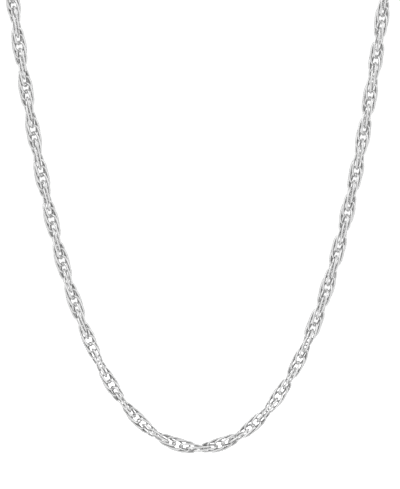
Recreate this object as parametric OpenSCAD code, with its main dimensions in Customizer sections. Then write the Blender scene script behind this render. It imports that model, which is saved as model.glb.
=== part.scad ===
// Singapore chain necklace, closed, hanging as it is worn.
// Lengths are in millimetres. +Z is up and the wearer faces -Y. The origin is the
// middle of the nape, where the clasp sits and where the neck carries the chain.
// The front hangs in one upright plane as a catenary. Each arm then bends back over
// a shoulder and goes round the neck, in a circle that rises to the clasp.

/* [Necklace] */
// Length all round the closed necklace, along the middle of the chain
necklace_len = 457; // [430:1:610]
// Width of the twisted chain across its lobes
chain_w = 2.8; // [2.2:0.1:3.4]
// Wire of the chain's links
link_wire = 0.42; // [0.3:0.01:0.6]

/* [Drape] */
// Radius of the bend at the bottom of the drape, which sets its catenary
drape_r = 12.7; // [10:0.1:16]
// Radius of the bend over each shoulder
shoulder_r = 18; // [12:1:24]
// Radius of the circle round the neck
neck_r = 45; // [42:1:56]
// Slope of that circle, which is highest at the nape, in degrees
nape_rise = 20; // [5:1:30]

/* [Fastening] */
// Clear length inside the loop at each end of the chain
end_loop_in = 2; // [1.6:0.1:3]
// Hole of the jump ring between the chain and the clasp
jump_in = 2; // [1.8:0.1:3]
// Hole of the catch ring that the clasp closes on
catch_in = 2.6; // [2.4:0.1:4]
// Wire of the jump ring and the catch ring
ring_wire = 0.6; // [0.4:0.05:0.7]
// Hole of the clasp's hoop
hoop_in = 3.4; // [2.6:0.1:5]
// Thickness of the clasp's hollow hoop
hoop_wire = 1.3; // [0.9:0.05:1.5]
// Length of the thumb stud that stands out of the hoop
stud_len = 0.7; // [0.4:0.1:1.2]
// Thickness of the thumb stud
stud_w = 0.7; // [0.4:0.05:0.8]
// Hole of the small eye soldered to the hoop
eye_in = 1.4; // [1.3:0.05:2.2]
// Wire of that eye
eye_wire = 0.5; // [0.4:0.05:0.7]
// Clearance between two pieces that are linked
link_gap = 0.1; // [0.1:0.05:0.2]

/* [Hidden] */
silver = [0.84, 0.84, 0.83];
round_fn = 48;
tube_sides = 8;
// Rings of the tube along each stretch of one arm
drape_rings = 22;
shoulder_rings = 5;
neck_rings = 12;
// Rings stand closer together at the bottom of the drape, the more so above 1
drape_crowding = 1.3;
// Angle on the hoop at which the thumb stud stands, from the eye's side
stud_angle = 60;
// Play of a ring's wire across the loop at the chain's end
loop_play = 0.25;

// The fastening lies along X. Each hole in it reaches link_gap into the next one's,
// so that the wires of two linked pieces pass that far apart.
fastening_half = (jump_in + eye_in + hoop_wire + hoop_in + catch_in - 4 * link_gap) / 2;
jump_x = -fastening_half - link_gap + jump_in / 2;
eye_x = jump_x + jump_in / 2 - link_gap + eye_in / 2;
hoop_x = eye_x + eye_in / 2 + hoop_wire + hoop_in / 2;
catch_x = fastening_half + link_gap - catch_in / 2;
chain_end_x = fastening_half + end_loop_in;

function unit(v) = v / norm(v);
function asinh(x) = ln(x + sqrt(x * x + 1));

// The drape: a catenary from the bottom of the necklace, s along the chain.
function drape_point(s) = [
    drape_r * asinh(s / drape_r),
    0,
    sqrt(drape_r * drape_r + s * s) - drape_r
];
function drape_dir(s) = unit([drape_r, 0, s]);

// The circle round the neck, measured from its centre: angle 0 is its front, 180 the nape.
function neck_point(angle) = neck_r * [
    sin(angle), -cos(angle) * cos(nape_rise), -cos(angle) * sin(nape_rise)
];
function neck_dir(angle) = [
    cos(angle), sin(angle) * cos(nape_rise), sin(angle) * sin(nape_rise)
];

// The bend over a shoulder turns from the drape's direction at s to the circle's at angle.
function bend_angle(s, angle) = acos(drape_dir(s) * neck_dir(angle));
function bend_up(s, angle) =
    unit(neck_dir(angle) - (drape_dir(s) * neck_dir(angle)) * drape_dir(s));
function bend_point(s, angle, turn) =
    drape_point(s) + shoulder_r * (sin(turn) * drape_dir(s) + (1 - cos(turn)) * bend_up(s, angle));
function bend_dir(s, angle, turn) =
    cos(turn) * drape_dir(s) + sin(turn) * bend_up(s, angle);

// Two unknowns, the drape's length s and the angle at which the arm meets the circle,
// come from the half length and from how far out the bend ends.
function half_len(s, angle) =
    s + (shoulder_r * bend_angle(s, angle) + neck_r * (180 - angle)) * PI / 180 + chain_end_x;
function meeting_angle(s, angle) =
    asin((bend_point(s, angle, bend_angle(s, angle))[0] - chain_end_x) / neck_r);
function fitted(s, angle, tries) =
    tries == 0 ? [s, angle]
    : fitted(s + necklace_len / 2 - half_len(s, angle), meeting_angle(s, angle), tries - 1);
fit = fitted(necklace_len / 4, 50, 60);
drape_len = fit[0];
neck_from = fit[1];
bend_turn = bend_angle(drape_len, neck_from);
neck_centre = bend_point(drape_len, neck_from, bend_turn) - neck_point(neck_from);
chain_end = neck_centre + neck_point(180);

// The stations of the arm on the +X side, each a point and a direction, from the bottom
// of the drape to the nape.
arm = concat(
    [for (i = [0 : drape_rings]) let (s = drape_len * pow(i / drape_rings, drape_crowding))
        [drape_point(s), drape_dir(s)]],
    [for (i = [1 : shoulder_rings]) let (turn = bend_turn * i / shoulder_rings)
        [bend_point(drape_len, neck_from, turn), bend_dir(drape_len, neck_from, turn)]],
    [for (i = [1 : neck_rings]) let (a = neck_from + (180 - neck_from) * i / neck_rings)
        [neck_centre + neck_point(a), neck_dir(a)]]
);

// The whole chain runs from the end on the -X side to the end on the +X side.
function mirrored(v) = [-v[0], v[1], v[2]];
stations = concat(
    [for (i = [len(arm) - 1 : -1 : 1]) [mirrored(arm[i][0]), -mirrored(arm[i][1])]],
    arm
);
last = len(stations) - 1;

// The first corner of each ring is carried along the chain with no twist.
function carried(n, d) = unit(n - (n * d) * d);
first_corners = [
    for (i = 0, n = [0, 0, 1]; i <= last; i = i + 1, n = carried(n, stations[min(i, last)][1])) n
];
function ring_points(p, d, n) = let (m = cross(d, n)) [
    for (k = [0 : tube_sides - 1]) let (a = (k + 0.5) * 360 / tube_sides)
        p + chain_w / 2 * (cos(a) * n + sin(a) * m)
];
tube_points = [
    for (i = [0 : last]) each ring_points(stations[i][0], stations[i][1], first_corners[i])
];
function corner(i, k) = i * tube_sides + k % tube_sides;
tube_faces = concat(
    [[for (k = [0 : tube_sides - 1]) corner(0, k)]],
    [for (i = [0 : last - 1], k = [0 : tube_sides - 1])
        each [[corner(i, k), corner(i + 1, k), corner(i, k + 1)],
              [corner(i, k + 1), corner(i + 1, k), corner(i + 1, k + 1)]]],
    [[for (k = [tube_sides - 1 : -1 : 0]) corner(last, k)]]
);

// A round ring in the XY plane, measured by its hole.
module ring(hole, wire, angle = 360) {
    rotate_extrude(angle = angle, $fn = round_fn)
        translate([(hole + wire) / 2, 0])
            circle(d = wire, $fn = round_fn);
}

// The last link of the chain, upright along X: its hole begins at x = 0 and its two legs
// run on along +X into the end of the chain.
module end_loop() {
    hole = ring_wire + 2 * loop_play;
    leg_z = (hole + link_wire) / 2;
    leg_len = end_loop_in - hole / 2 + chain_w / 4;
    translate([hole / 2, 0, 0]) {
        rotate([90, 0, 0])
            rotate([0, 0, 90])
                ring(hole, link_wire, 180);
        for (side = [-1, 1])
            translate([0, 0, side * leg_z])
                rotate([0, 90, 0])
                    cylinder(d = link_wire, h = leg_len, $fn = round_fn);
    }
}

// The chain, as the round envelope of its twisted links, with a loop at each end.
module chain() {
    color(silver) {
        translate([0, -chain_end[1], -chain_end[2]])
            polyhedron(tube_points, tube_faces);
        for (side = [0, 1])
            mirror([side, 0, 0])
                translate([fastening_half, 0, 0])
                    end_loop();
    }
}

// The closed ring through the chain's -X end loop and the clasp's eye, lying flat.
module jump_ring() {
    color(silver)
        translate([jump_x, 0, 0])
            ring(jump_in, ring_wire);
}

// The clasp: a round hoop with a thumb stud, and a small eye soldered to it, all upright.
module clasp() {
    color(silver) {
        translate([hoop_x, 0, 0])
            rotate([90, 0, 0]) {
                ring(hoop_in, hoop_wire);
                rotate([0, 0, 180 - stud_angle])
                    translate([(hoop_in + hoop_wire) / 2, 0, 0])
                        rotate([0, 90, 0])
                            cylinder(d = stud_w, h = hoop_wire / 2 + stud_len, $fn = round_fn);
            }
        translate([eye_x, 0, 0])
            rotate([90, 0, 0])
                ring(eye_in, eye_wire);
    }
}

// The closed ring that the clasp's hoop catches, lying flat through the +X end loop.
module catch_ring() {
    color(silver)
        translate([catch_x, 0, 0])
            ring(catch_in, ring_wire);
}

chain();
jump_ring();
clasp();
catch_ring();
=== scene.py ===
import math
import random

import bpy
from mathutils import Matrix, Quaternion, Vector


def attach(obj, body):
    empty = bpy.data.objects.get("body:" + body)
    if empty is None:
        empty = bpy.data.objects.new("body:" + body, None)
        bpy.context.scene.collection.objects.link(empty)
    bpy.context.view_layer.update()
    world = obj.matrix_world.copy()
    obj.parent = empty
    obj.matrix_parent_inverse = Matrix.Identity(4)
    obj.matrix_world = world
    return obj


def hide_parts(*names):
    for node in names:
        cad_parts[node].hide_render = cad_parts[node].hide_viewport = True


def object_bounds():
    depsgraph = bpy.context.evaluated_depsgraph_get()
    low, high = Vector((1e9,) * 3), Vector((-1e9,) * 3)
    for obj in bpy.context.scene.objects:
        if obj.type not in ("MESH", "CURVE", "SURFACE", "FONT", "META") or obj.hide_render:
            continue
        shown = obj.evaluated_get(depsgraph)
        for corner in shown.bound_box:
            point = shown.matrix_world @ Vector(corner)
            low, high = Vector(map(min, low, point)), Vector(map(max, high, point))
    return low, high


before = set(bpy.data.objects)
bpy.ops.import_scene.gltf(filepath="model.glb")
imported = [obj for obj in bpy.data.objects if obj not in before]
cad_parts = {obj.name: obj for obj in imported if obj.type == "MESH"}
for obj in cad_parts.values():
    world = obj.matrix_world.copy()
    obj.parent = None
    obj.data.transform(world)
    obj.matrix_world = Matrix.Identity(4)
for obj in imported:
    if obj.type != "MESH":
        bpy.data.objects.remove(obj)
cad_low, cad_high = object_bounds()


# The line the chain hangs in.
# A closed necklace hangs in front as a catenary in one upright plane. Each arm then bends
# back over a shoulder and goes round the neck, in a circle that rises to the clasp.
mm = 0.001
necklace_length = 457 * mm
drape_radius = 12.7 * mm
shoulder_radius = 18 * mm
neck_radius = 45 * mm
nape_rise = math.radians(20)
chain_end_x = 7.15 * mm


def drape_place(s):
    along = Vector((drape_radius, 0, s)).normalized()
    across = drape_radius * math.asinh(s / drape_radius)
    return Vector((across, 0, math.hypot(drape_radius, s) - drape_radius)), along


def neck_place(angle):
    """The circle round the neck from its centre: 0 is its front, pi the nape."""
    out = Vector((math.sin(angle), -math.cos(angle) * math.cos(nape_rise),
                  -math.cos(angle) * math.sin(nape_rise)))
    along = Vector((math.cos(angle), math.sin(angle) * math.cos(nape_rise),
                    math.sin(angle) * math.sin(nape_rise)))
    return neck_radius * out, along


def shoulder_bend(s, angle):
    """How far the arm turns from the drape's direction at s to the circle's, and towards what."""
    start, goal = drape_place(s)[1], neck_place(angle)[1]
    return start.angle(goal), (goal - start.dot(goal) * start).normalized()


def shoulder_place(s, angle, turn):
    point, start = drape_place(s)
    up = shoulder_bend(s, angle)[1]
    return (point + shoulder_radius * (math.sin(turn) * start + (1 - math.cos(turn)) * up),
            math.cos(turn) * start + math.sin(turn) * up)


# The drape takes the length that the shoulder and the neck leave of half the necklace.
drape_length, meeting_angle = necklace_length / 4, math.radians(50)
for attempt in range(60):
    turn = shoulder_bend(drape_length, meeting_angle)[0]
    half = (drape_length + shoulder_radius * turn
            + neck_radius * (math.pi - meeting_angle) + chain_end_x)
    bend_end = shoulder_place(drape_length, meeting_angle, turn)[0]
    drape_length += necklace_length / 2 - half
    meeting_angle = math.asin((bend_end.x - chain_end_x) / neck_radius)
shoulder_turn = shoulder_bend(drape_length, meeting_angle)[0]
shoulder_length = shoulder_radius * shoulder_turn
neck_centre = (shoulder_place(drape_length, meeting_angle, shoulder_turn)[0]
               - neck_place(meeting_angle)[0])
nape = neck_centre + neck_place(math.pi)[0]
arm_length = necklace_length / 2 - chain_end_x


def chain_place(s):
    """Point and direction at s along the chain from the drape's bottom; -s is the other arm."""
    reach = abs(s)
    if reach < drape_length:
        point, along = drape_place(reach)
    elif reach < drape_length + shoulder_length:
        point, along = shoulder_place(drape_length, meeting_angle,
                                      (reach - drape_length) / shoulder_radius)
    else:
        angle = meeting_angle + (reach - drape_length - shoulder_length) / neck_radius
        point, along = neck_place(angle)
        point = point + neck_centre
    point = point - Vector((0, nape.y, nape.z))
    if s < 0:
        point.x, along.y, along.z = -point.x, -along.y, -along.z
    return point, along


# The chain: 337 long oval links of sterling silver wire, pressed flatter along their sides,
# each through the next three. The string is twisted until it stands in lobes, with one turn
# to the right in two lobes, then soldered link by link, tumbled and polished bright.
link_spacing = 1.30 * mm
last_link_short = 2.45 * mm      # of the chain's end, to the middle of the last link
last_link_reach = arm_length - last_link_short
link_count = 2 * round(last_link_reach / link_spacing) + 1
link_pitch = 2 * last_link_reach / (link_count - 1)
wire = 0.42 * mm
# An oval's half length and half width, and how much fuller its shoulders and blunter its
# ends are than an ellipse's.
link_oval = (2.28 * mm, 1.17 * mm, 0.09 * mm, -0.06 * mm)
loop_oval = (1.495 * mm, 0.80 * mm, 0.04 * mm, -0.03 * mm)
# How far one end of a link is twisted against the other, for its length.
link_twist = -0.05 / mm
# How much thicker the wire is halfway along a link, and how much of its height is then
# pressed away, which keeps as much metal there as in the round wire.
link_pressing = (0.25, 0.36)
unpressed = (0.0, 0.0)
end_crowding = 0.03              # how much shorter the wire's steps are at a link's ends
oval_steps = 20
wire_sides = 5
# The left arm is twisted a little slacker than the right one, and its lobes are not quite
# even. Round the neck the twist is eased, so that the last link of each arm lies flat.
lobe_right = 7.25 * mm
lobe_left = 8.25 * mm
slack = 1.1 * mm
slack_at = -30 * mm
slack_reach = 20 * mm
pinch_at = 0.49 * mm        # where the chain is on edge, by the bottom of the drape
neck_turn_right = math.radians(-124)
neck_turn_left = math.radians(8)
# No two links lie quite alike.
uneven_turn = math.radians(4.5)
uneven_place = 0.045
unevenness = random.Random(6)


def twist_at(s):
    """How far the chain is turned at s from where it stands on edge, by the drape's bottom."""
    hidden = max(0, abs(s) - drape_length) / (last_link_reach - drape_length)
    past = s - pinch_at
    if past < 0:
        past += slack * math.exp(-((past - slack_at) / slack_reach) ** 2)
        return math.pi * past / lobe_left + neck_turn_left * hidden
    return math.pi * past / lobe_right + neck_turn_right * hidden


def add_node(tree, kind, settings=None, inputs=None):
    """Adds a node, sets its properties, and fills or links its inputs by name or number."""
    made = tree.nodes.new(kind)
    for name, value in (settings or {}).items():
        setattr(made, name, value)
    for key, value in (inputs or {}).items():
        if isinstance(value, bpy.types.NodeSocket):
            tree.links.new(value, made.inputs[key])
        else:
            made.inputs[key].default_value = value
    return made


def linear_colour(value):
    """sRGB hex, such as "f0efec", to linear."""
    parts = [int(value[i:i + 2], 16) / 255 for i in (0, 2, 4)]
    return tuple(c / 12.92 if c < 0.04045 else ((c + 0.055) / 1.055) ** 2.4 for c in parts) + (1,)


def polished_silver(name, tone, shade, roughness):
    """Sterling silver, tumbled and polished: a bright mirror broken by burnishing marks."""
    material = bpy.data.materials.new(name)
    material.use_nodes = True
    tree = material.node_tree
    shader = tree.nodes["Principled BSDF"]
    shader.inputs["Metallic"].default_value = 1
    place = add_node(tree, "ShaderNodeTexCoord").outputs["Object"]
    # Cloudy patches half a millimetre across, where the polish is less or more.
    cloud = add_node(tree, "ShaderNodeTexNoise", inputs={
        "Vector": place, "Scale": 1 / (0.5 * mm), "Detail": 3.0})
    tint = add_node(tree, "ShaderNodeMix", {"data_type": "RGBA"}, {
        0: cloud.outputs["Fac"], 6: linear_colour(shade), 7: linear_colour(tone)})
    tree.links.new(tint.outputs[2], shader.inputs["Base Color"])
    haze = add_node(tree, "ShaderNodeMapRange", inputs={
        "Value": cloud.outputs["Fac"], 1: 0.3, 2: 0.7, 3: roughness * 1.3, 4: roughness * 0.7})
    tree.links.new(haze.outputs[0], shader.inputs["Roughness"])
    # Tumbling marks: dents about a tenth of a millimetre across.
    dents = add_node(tree, "ShaderNodeTexNoise", inputs={
        "Vector": place, "Scale": 1 / (0.12 * mm), "Detail": 2.0})
    bump = add_node(tree, "ShaderNodeBump", inputs={
        "Strength": 0.15, "Distance": 0.01 * mm, "Height": dents.outputs["Fac"]})
    tree.links.new(bump.outputs[0], shader.inputs["Normal"])
    return material


chain_silver = polished_silver("polished_silver_chain", "e6e6e6", "dcdcdc", 0.25)
# The inner sides of the wires stay dull: neither the tumbling nor the buff reach them.
# Their grey (6c6c6c) is also painted shade, for the shade that falls between the links.
shader = chain_silver.node_tree.nodes["Principled BSDF"]
shade_and_polish_mask = add_node(chain_silver.node_tree, "ShaderNodeAttribute", {"attribute_name": "polish"})
painted_shade_and_dullness = add_node(chain_silver.node_tree, "ShaderNodeMix", {"data_type": "RGBA"}, {
    0: shade_and_polish_mask.outputs["Fac"], 6: linear_colour("6c6c6c"),
    7: shader.inputs["Base Color"].links[0].from_socket})
chain_silver.node_tree.links.new(painted_shade_and_dullness.outputs[2], shader.inputs["Base Color"])


def link_tree():
    """Builds one link from its sizes and sets a copy at each station of the chain."""
    tree = bpy.data.node_groups.new("links_on_stations", "GeometryNodeTree")
    face = tree.interface
    face.new_socket("Geometry", in_out="OUTPUT", socket_type="NodeSocketGeometry")
    face.new_socket("Stations", in_out="INPUT", socket_type="NodeSocketGeometry")
    for name in ("Half length", "Half width", "Shoulder", "End", "Twist per metre", "Wire",
                 "Spread", "Flatness"):
        face.new_socket(name, in_out="INPUT", socket_type="NodeSocketFloat")
    for name in ("Steps", "Wire sides"):
        face.new_socket(name, in_out="INPUT", socket_type="NodeSocketInt")
    face.new_socket("Material", in_out="INPUT", socket_type="NodeSocketMaterial")
    given = tree.nodes.new("NodeGroupInput").outputs

    oval = add_node(tree, "GeometryNodeCurvePrimitiveCircle", {"mode": "RADIUS"},
                    {"Resolution": given["Steps"], "Radius": 1.0})
    # The wire's middle line is a sum of waves round the oval, in steps shorter at its ends.
    share = add_node(tree, "ShaderNodeMath", {"operation": "DIVIDE"}, {
        0: add_node(tree, "GeometryNodeInputIndex").outputs[0], 1: given["Steps"]}).outputs[0]
    doubled = add_node(tree, "ShaderNodeMath", {"operation": "MULTIPLY"}, {
        0: share, 1: 4 * math.pi})
    drawn = add_node(tree, "ShaderNodeMath", {"operation": "SINE"}, {0: doubled.outputs[0]})
    turned_by = add_node(tree, "ShaderNodeMath", {"operation": "MULTIPLY_ADD"}, {
        0: drawn.outputs[0], 1: -end_crowding, 2: share}).outputs[0]
    reach = {"along": 0.0, "across": 0.0}
    for axis, wave, repeats, size in (
            ("along", "COSINE", 1, "Half length"), ("along", "COSINE", 3, "End"),
            ("across", "SINE", 1, "Half width"), ("across", "SINE", 3, "Shoulder")):
        angle = add_node(tree, "ShaderNodeMath", {"operation": "MULTIPLY"}, {
            0: turned_by, 1: 2 * math.pi * repeats})
        height = add_node(tree, "ShaderNodeMath", {"operation": wave}, {0: angle.outputs[0]})
        reach[axis] = add_node(tree, "ShaderNodeMath", {"operation": "MULTIPLY_ADD"}, {
            0: height.outputs[0], 1: given[size], 2: reach[axis]}).outputs[0]
    flat = add_node(tree, "ShaderNodeCombineXYZ", inputs={
        0: reach["along"], 1: reach["across"]}).outputs[0]
    shaped = add_node(tree, "GeometryNodeSetPosition", inputs={
        "Geometry": oval.outputs[0], "Position": flat})
    # The link is pressed in a die, which spreads the wire along its sides and leaves its ends
    # round.
    spot = add_node(tree, "ShaderNodeSeparateXYZ", inputs={
        0: add_node(tree, "GeometryNodeInputPosition").outputs[0]}).outputs
    to_end = add_node(tree, "ShaderNodeMath", {"operation": "DIVIDE"}, {
        0: spot[0], 1: given["Half length"]}).outputs[0]
    squared = add_node(tree, "ShaderNodeMath", {"operation": "MULTIPLY"}, {0: to_end, 1: to_end})
    pressed = add_node(tree, "ShaderNodeMath", {"operation": "SUBTRACT", "use_clamp": True}, {
        0: 1.0, 1: squared.outputs[0]}).outputs[0]
    spread = add_node(tree, "ShaderNodeMath", {"operation": "MULTIPLY_ADD"}, {
        0: pressed, 1: given["Spread"], 2: 1.0})
    radius = add_node(tree, "ShaderNodeMath", {"operation": "MULTIPLY"}, {
        0: given["Wire"], 1: 0.5})
    section = add_node(tree, "GeometryNodeCurvePrimitiveCircle", {"mode": "RADIUS"}, {
        "Resolution": given["Wire sides"], "Radius": radius.outputs[0]})
    link = add_node(tree, "GeometryNodeCurveToMesh", inputs={
        "Curve": shaped.outputs[0], "Profile Curve": section.outputs[0],
        "Scale": spread.outputs[0]})
    height_left = add_node(tree, "ShaderNodeMath", {"operation": "MULTIPLY_ADD"}, {
        0: pressed, 1: add_node(tree, "ShaderNodeMath", {"operation": "MULTIPLY"}, {
            0: given["Flatness"], 1: -1.0}).outputs[0], 2: 1.0})
    height = add_node(tree, "ShaderNodeMath", {"operation": "MULTIPLY"}, {
        0: spot[2], 1: height_left.outputs[0]})
    flattened = add_node(tree, "ShaderNodeCombineXYZ", inputs={
        0: spot[0], 1: spot[1], 2: height.outputs[0]})
    # Each link is twisted about its own length, one end against the other.
    twist = add_node(tree, "ShaderNodeMath", {"operation": "MULTIPLY"}, {
        0: spot[0], 1: given["Twist per metre"]})
    twisted = add_node(tree, "ShaderNodeVectorRotate", {"rotation_type": "X_AXIS"}, {
        "Vector": flattened.outputs[0], "Angle": twist.outputs[0]})
    finished_link = add_node(tree, "GeometryNodeSetPosition", inputs={
        "Geometry": link.outputs[0], "Position": twisted.outputs[0]})
    smooth = add_node(tree, "GeometryNodeSetShadeSmooth", inputs={
        "Geometry": finished_link.outputs[0]})
    # How far each spot of the wire faces out of the chain, where polish and light reach it: the
    # inward sides get painted shade.
    outward = add_node(tree, "ShaderNodeVectorMath", {"operation": "NORMALIZE"}, {
        0: add_node(tree, "ShaderNodeVectorMath", {"operation": "MULTIPLY"}, {
            0: add_node(tree, "GeometryNodeInputPosition").outputs[0],
            1: (0, 1, 1)}).outputs[0]}).outputs[0]
    facing_out = add_node(tree, "ShaderNodeVectorMath", {"operation": "DOT_PRODUCT"}, {
        0: outward, 1: add_node(tree, "GeometryNodeInputNormal").outputs[0]}).outputs["Value"]
    polish = add_node(tree, "ShaderNodeMapRange", inputs={
        "Value": facing_out, 1: -0.9, 2: -0.1, 3: 0.0, 4: 1.0}).outputs[0]
    kept = add_node(tree, "GeometryNodeStoreNamedAttribute", {
        "data_type": "FLOAT", "domain": "POINT"}, {
        "Geometry": smooth.outputs[0], "Name": "polish", "Value": polish})

    axes = [add_node(tree, "GeometryNodeInputNamedAttribute", {"data_type": "FLOAT_VECTOR"},
                     {"Name": name}).outputs[0] for name in ("along", "facing")]
    rotation = add_node(tree, "FunctionNodeAxesToRotation",
                        {"primary_axis": "X", "secondary_axis": "Z"}, {0: axes[0], 1: axes[1]})
    placed = add_node(tree, "GeometryNodeInstanceOnPoints", inputs={
        "Points": given["Stations"], "Instance": kept.outputs[0],
        "Rotation": rotation.outputs[0]})
    joined = add_node(tree, "GeometryNodeRealizeInstances", inputs={0: placed.outputs[0]})
    finished = add_node(tree, "GeometryNodeSetMaterial", inputs={
        "Geometry": joined.outputs[0], "Material": given["Material"]})
    add_node(tree, "NodeGroupOutput", inputs={0: finished.outputs[0]})
    return tree


def links_at(name, stations, oval, own_twist, pressing, tree):
    """A mesh of links on stations, each a point, a direction and the way its flat side faces."""
    sizes = dict(zip(("Half length", "Half width", "Shoulder", "End"), oval))
    sizes.update({"Twist per metre": own_twist, "Wire": wire, "Spread": pressing[0],
                  "Flatness": pressing[1], "Steps": oval_steps, "Wire sides": wire_sides,
                  "Material": chain_silver})
    mesh = bpy.data.meshes.new(name + "_stations")
    mesh.from_pydata([place for place, along, facing in stations], [], [])
    for label, column in (("along", 1), ("facing", 2)):
        attribute = mesh.attributes.new(label, "FLOAT_VECTOR", "POINT")
        for i, row in enumerate(stations):
            attribute.data[i].vector = row[column]
    stand = bpy.data.objects.new(name + "_stations", mesh)
    bpy.context.collection.objects.link(stand)
    modifier = stand.modifiers.new("links", "NODES")
    modifier.node_group = tree
    for socket in tree.interface.items_tree:
        if socket.in_out == "INPUT" and socket.name in sizes:
            modifier[socket.identifier] = sizes[socket.name]
    evaluated = stand.evaluated_get(bpy.context.evaluated_depsgraph_get())
    made = bpy.data.meshes.new_from_object(evaluated)
    bpy.data.objects.remove(stand)
    piece = bpy.data.objects.new(name, made)
    bpy.context.collection.objects.link(piece)
    return piece


# The way each link's flat side faces: carried along the chain from the bottom, where the
# front is -Y, and turned by the twist.
stations = []
for side in (1, -1):
    facing = Vector((0, -1, 0))
    for step in range(link_count // 2 + 1):
        s = side * step * link_pitch
        place, along = chain_place(s)
        facing = (facing - facing.dot(along) * along).normalized()
        turn = math.pi / 2 + twist_at(s) + unevenness.uniform(-uneven_turn, uneven_turn)
        place += along * unevenness.uniform(-uneven_place, uneven_place) * mm
        if step or side > 0:
            stations.append((place, along, Quaternion(along, turn) @ facing))

# The end loop at each end stands upright, soldered through the last link, so that the ring
# that it carries lies flat.
loop_hole_x = 5.15 * mm          # where the hole of each end loop begins
loop_middle = (loop_hole_x - wire / 2) + (loop_oval[0] + loop_oval[3])
loop_stations = [(Vector((side * loop_middle, 0, 0)), Vector((side, 0, 0)), Vector((0, -1, 0)))
                 for side in (1, -1)]

links = link_tree()
chain_links = links_at("chain_links", stations, link_oval, link_twist, link_pressing, links)
end_loops = links_at("end_loops", loop_stations, loop_oval, 0.0, unpressed, links)
with bpy.context.temp_override(active_object=chain_links,
                               selected_editable_objects=[chain_links, end_loops]):
    bpy.ops.object.join()
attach(chain_links, "root")
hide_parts("chain")


# The jump ring, the catch ring and the clasp.
# Rings of drawn silver wire, soldered closed, and a round hoop with an eye. All are bought
# in, polished brighter than the chain, and linked to its two end loops.
clasp_silver = polished_silver("polished_silver_findings", "d6d6d6", "cacaca", 0.14)
for node_name in ("jump_ring", "clasp", "catch_ring"):
    piece = bpy.data.objects[node_name]
    piece.data.materials.clear()
    piece.data.materials.append(clasp_silver)


# The floor: a seamless white sheet under the hanging necklace.
floor_drop = 35 * mm
floor_size = 6.0
floor_mesh = bpy.data.meshes.new("floor")
edge = floor_size / 2
floor_z = cad_low.z - floor_drop
floor_mesh.from_pydata(
    [(-edge, -edge, floor_z), (edge, -edge, floor_z), (edge, edge, floor_z),
     (-edge, edge, floor_z)], [], [(0, 1, 2, 3)])
floor = bpy.data.objects.new("floor", floor_mesh)
bpy.context.collection.objects.link(floor)
# Matt white paper, lit so that it comes out white in the picture.
paper = bpy.data.materials.new("white_paper")
paper.use_nodes = True
paper_shader = paper.node_tree.nodes["Principled BSDF"]
paper_shader.inputs["Base Color"].default_value = (0.95, 0.95, 0.95, 1)
paper_shader.inputs["Roughness"].default_value = 0.9
paper_shader.inputs["Emission Color"].default_value = (1, 1, 1, 1)
watched = add_node(paper.node_tree, "ShaderNodeLightPath").outputs["Is Camera Ray"]
paper.node_tree.links.new(watched, paper_shader.inputs["Emission Strength"])
floor_mesh.materials.append(paper)


# The light: a white tent, softly brighter overhead, with two large soft boxes.
world = bpy.data.worlds.new("light_tent")
bpy.context.scene.world = world
world.use_nodes = True
sky = world.node_tree
backdrop = sky.nodes["Background"]
backdrop.inputs["Color"].default_value = (1, 1, 1, 1)
direction = add_node(sky, "ShaderNodeTexCoord").outputs["Generated"]
toward = add_node(sky, "ShaderNodeSeparateXYZ", inputs={0: direction}).outputs
front = add_node(sky, "ShaderNodeMapRange", {"interpolation_type": "SMOOTHSTEP"}, {
    "Value": toward[1], 1: -0.9, 2: 0.9, 3: 0.88, 4: 0.9})
lift = add_node(sky, "ShaderNodeMapRange", inputs={
    "Value": toward[2], 1: -1.0, 2: 1.0, 3: 0.8, 4: 1.1})
brightness = add_node(sky, "ShaderNodeMath", {"operation": "MULTIPLY"}, {
    0: front.outputs[0], 1: lift.outputs[0]})
seen = add_node(sky, "ShaderNodeLightPath").outputs["Is Camera Ray"]
strength = add_node(sky, "ShaderNodeMix", {"data_type": "FLOAT"}, {
    0: seen, 2: brightness.outputs[0], 3: 1.05})
sky.links.new(strength.outputs[0], backdrop.inputs["Strength"])


def soft_box(name, place, aim, size, power):
    lamp = bpy.data.lights.new(name, "AREA")
    lamp.shape = "RECTANGLE"
    lamp.size, lamp.size_y = size
    lamp.energy = power
    holder = bpy.data.objects.new(name, lamp)
    bpy.context.collection.objects.link(holder)
    holder.matrix_world = (Matrix.Translation(place)
                           @ (aim - place).to_track_quat("-Z", "Y").to_matrix().to_4x4())


middle_of_drape = Vector((0, -nape.y, -90 * mm))
soft_box("soft_box_left", Vector((-0.6, -0.7, 0.4)), middle_of_drape, (0.5, 0.7), 1.5)
soft_box("soft_box_right", Vector((0.7, -0.6, 0.3)), middle_of_drape, (0.4, 0.6), 1.0)


# The camera: square to the drape's plane, level, and at the height of the picture's middle.
# The picture is 400 by 489 pixels and shows 0.185 mm of the drape's plane a pixel.
pixel = 0.185 * mm
picture_height = 489 * pixel
camera_distance = 0.9
camera = bpy.data.objects.new("camera", bpy.data.cameras.new("camera"))
bpy.context.collection.objects.link(camera)
camera.data.sensor_width = 36
camera.data.lens = 36 * camera_distance / picture_height
centre_right = 1.4 * pixel     # the picture's middle lies right of the drape's
centre_up = 203.2 * pixel      # and above its bottom
camera.location = (centre_right, -nape.y - camera_distance, -nape.z + centre_up)
camera.rotation_euler = (math.pi / 2, 0, 0)
camera.data.clip_start, camera.data.clip_end = 0.01, 20
bpy.context.scene.camera = camera
bpy.context.scene.view_settings.view_transform = "Standard"
